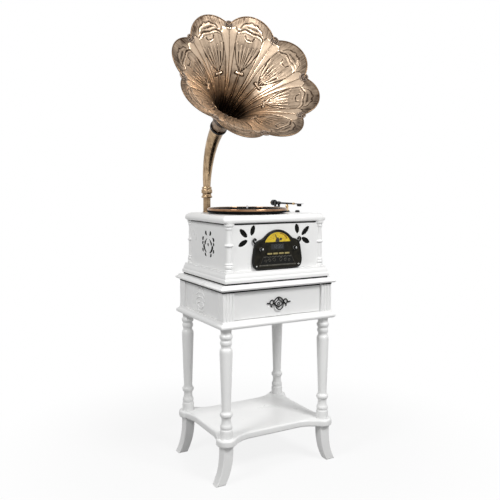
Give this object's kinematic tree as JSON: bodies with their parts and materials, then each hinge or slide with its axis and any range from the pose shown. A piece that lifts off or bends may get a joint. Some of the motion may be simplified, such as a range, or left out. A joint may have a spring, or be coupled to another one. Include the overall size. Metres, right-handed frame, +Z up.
{
  "type": "retro record player",
  "caption": "Turntable and radio in a white case with corner columns, with a brass petal horn, on a turned-leg table with a drawer and a shelf.",
  "frame": {"origin": "on the floor under the middle of the whole box, horn included", "axes": "+Z up, +X to the right and -Y to the front as seen by someone who faces the radio panel"},
  "size_m": [0.6666, 0.5858, 1.6247],
  "materials": {
    "white_paint": "satin white paint over wood and fibreboard",
    "raw_board": "unpainted plywood, drawer inside",
    "horn_brass": "antique bronze finish over brass",
    "arm_brass": "polished brass",
    "copper_rim": "polished copper colour",
    "black_rubber": "matt",
    "black_iron": "black, semi-gloss",
    "black_metal": "black, semi-gloss",
    "black_plastic": "satin",
    "fascia_bronze": "dark bronze lacquer",
    "dial_yellow": "printed yellow dial",
    "lcd_glass": "dark glass",
    "silver_knob": "bright",
    "gold_button": "satin gold",
    "steel": "bright turned",
    "grille_cloth": "black cloth on board",
    "circuit_board": "green board"
  },
  "bodies": {
    "cabinet": {"table_top": "white_paint", "base_board": "white_paint", "apron_left": "white_paint", "apron_right": "white_paint", "apron_back": "white_paint", "leg_front_left": "white_paint", "foot_front_left": "white_paint", "leg_front_right": "white_paint", "foot_front_right": "white_paint", "leg_back_left": "white_paint", "foot_back_left": "white_paint", "leg_back_right": "white_paint", "foot_back_right": "white_paint", "shelf": "white_paint", "plinth": "white_paint", "case_front": "white_paint", "case_back": "white_paint", "case_left": "white_paint", "case_right": "white_paint", "column_front_left": "white_paint", "column_front_right": "white_paint", "column_back_left": "white_paint", "column_back_right": "white_paint", "deck": "white_paint", "grille_board": "grille_cloth", "speaker_left": "black_plastic", "speaker_right": "black_plastic", "amplifier_board": "circuit_board", "motor": "steel", "drive_belt": "black_rubber", "tonearm_pedestal": "black_plastic", "arm_rest": "black_plastic", "radio_fascia": "fascia_bronze", "dial_plate": "dial_yellow", "lcd_window": "lcd_glass", "horn_pipe": "horn_brass"},
    "drawer": {"drawer_front": "white_paint", "drawer_box": "raw_board", "pull_plate": "black_iron"},
    "bail": {"pull_bail": "black_iron"},
    "platter": {"platter": "copper_rim", "platter_mat": "black_rubber", "spindle": "steel"},
    "pulley": {"motor_pulley": "arm_brass"},
    "yoke": {"tonearm_yoke": "black_metal"},
    "tonearm": {"tonearm_tube": "arm_brass", "headshell": "black_plastic"},
    "weight": {"counterweight": "black_metal"},
    "lift_lever": {"lift_lever": "black_metal"},
    "speed_selector": {"speed_selector": "black_plastic"},
    "volume_knob": {"volume_knob": "silver_knob"},
    "tuning_knob": {"tuning_knob": "silver_knob"},
    "needle": {"dial_needle": "black_metal"},
    "button_1": {"button_1": "gold_button"},
    "button_2": {"button_2": "gold_button"},
    "button_3": {"button_3": "gold_button"},
    "button_4": {"button_4": "gold_button"},
    "horn": {"horn_elbow": "horn_brass", "joint_ring": "black_metal", "horn_bell": "horn_brass"}
  },
  "joints": [
    {"name": "drawer_slide", "type": "slide", "parent": "cabinet", "child": "drawer", "axis": [0, -1, 0], "range_m": [0, 0.22]},
    {"name": "bail_swing", "type": "hinge", "parent": "drawer", "child": "bail", "pos_m": [0.08183, -0.09193, 0.6225], "axis": [-1, 0, 0], "range_deg": [0, 80]},
    {"name": "platter_spin", "type": "hinge", "parent": "cabinet", "child": "platter", "pos_m": [0.05183, 0.09287, 0.937], "axis": [0, 0, 1], "continuous": true},
    {"name": "pulley_spin", "type": "hinge", "parent": "cabinet", "child": "pulley", "pos_m": [0.11688, 0.15792, 0.937], "axis": [0, 0, 1], "continuous": true},
    {"name": "tonearm_swing", "type": "hinge", "parent": "cabinet", "child": "yoke", "pos_m": [0.24183, 0.18787, 0.937], "axis": [0, 0, -1], "range_deg": [0, 55]},
    {"name": "tonearm_lift", "type": "hinge", "parent": "yoke", "child": "tonearm", "pos_m": [0.24183, 0.18787, 0.97], "axis": [-1, 0, 0], "range_deg": [0, 16]},
    {"name": "weight_slide", "type": "slide", "parent": "tonearm", "child": "weight", "axis": [0, 1, 0], "range_m": [-0.002, 0.006]},
    {"name": "lift_lever_turn", "type": "hinge", "parent": "cabinet", "child": "lift_lever", "pos_m": [0.26783, 0.18787, 0.947], "axis": [-1, 0, 0], "range_deg": [0, 40]},
    {"name": "speed_turn", "type": "hinge", "parent": "cabinet", "child": "speed_selector", "pos_m": [0.25783, 0.06287, 0.937], "axis": [0, 0, 1], "range_deg": [-25, 25]},
    {"name": "volume_turn", "type": "hinge", "parent": "cabinet", "child": "volume_knob", "pos_m": [0.01233, -0.07013, 0.818], "axis": [0, 1, 0], "range_deg": [0, 270]},
    {"name": "tuning_turn", "type": "hinge", "parent": "cabinet", "child": "tuning_knob", "pos_m": [0.15133, -0.07013, 0.818], "axis": [0, 1, 0], "range_deg": [-100, 200]},
    {"name": "needle_turn", "type": "hinge", "parent": "cabinet", "child": "needle", "pos_m": [0.08183, -0.07013, 0.8438], "axis": [0, 1, 0], "range_deg": [-40, 80]},
    {"name": "button_1_press", "type": "slide", "parent": "cabinet", "child": "button_1", "axis": [0, 1, 0], "range_m": [0, 0.0015], "stiffness_N_per_m": 400, "springref_m": -0.001},
    {"name": "button_2_press", "type": "slide", "parent": "cabinet", "child": "button_2", "axis": [0, 1, 0], "range_m": [0, 0.0015], "stiffness_N_per_m": 400, "springref_m": -0.001},
    {"name": "button_3_press", "type": "slide", "parent": "cabinet", "child": "button_3", "axis": [0, 1, 0], "range_m": [0, 0.0015], "stiffness_N_per_m": 400, "springref_m": -0.001},
    {"name": "button_4_press", "type": "slide", "parent": "cabinet", "child": "button_4", "axis": [0, 1, 0], "range_m": [0, 0.0015], "stiffness_N_per_m": 400, "springref_m": -0.001},
    {"name": "horn_swivel", "type": "hinge", "parent": "cabinet", "child": "horn", "pos_m": [-0.05117, 0.22787, 1.035], "axis": [0, 0, 1], "continuous": true}
  ],
  "couplings": [
    {"joint": "pulley_spin", "follows": "platter_spin", "ratio": 9.6667},
    {"joint": "needle_turn", "follows": "tuning_turn", "ratio": 0.4}
  ]
}
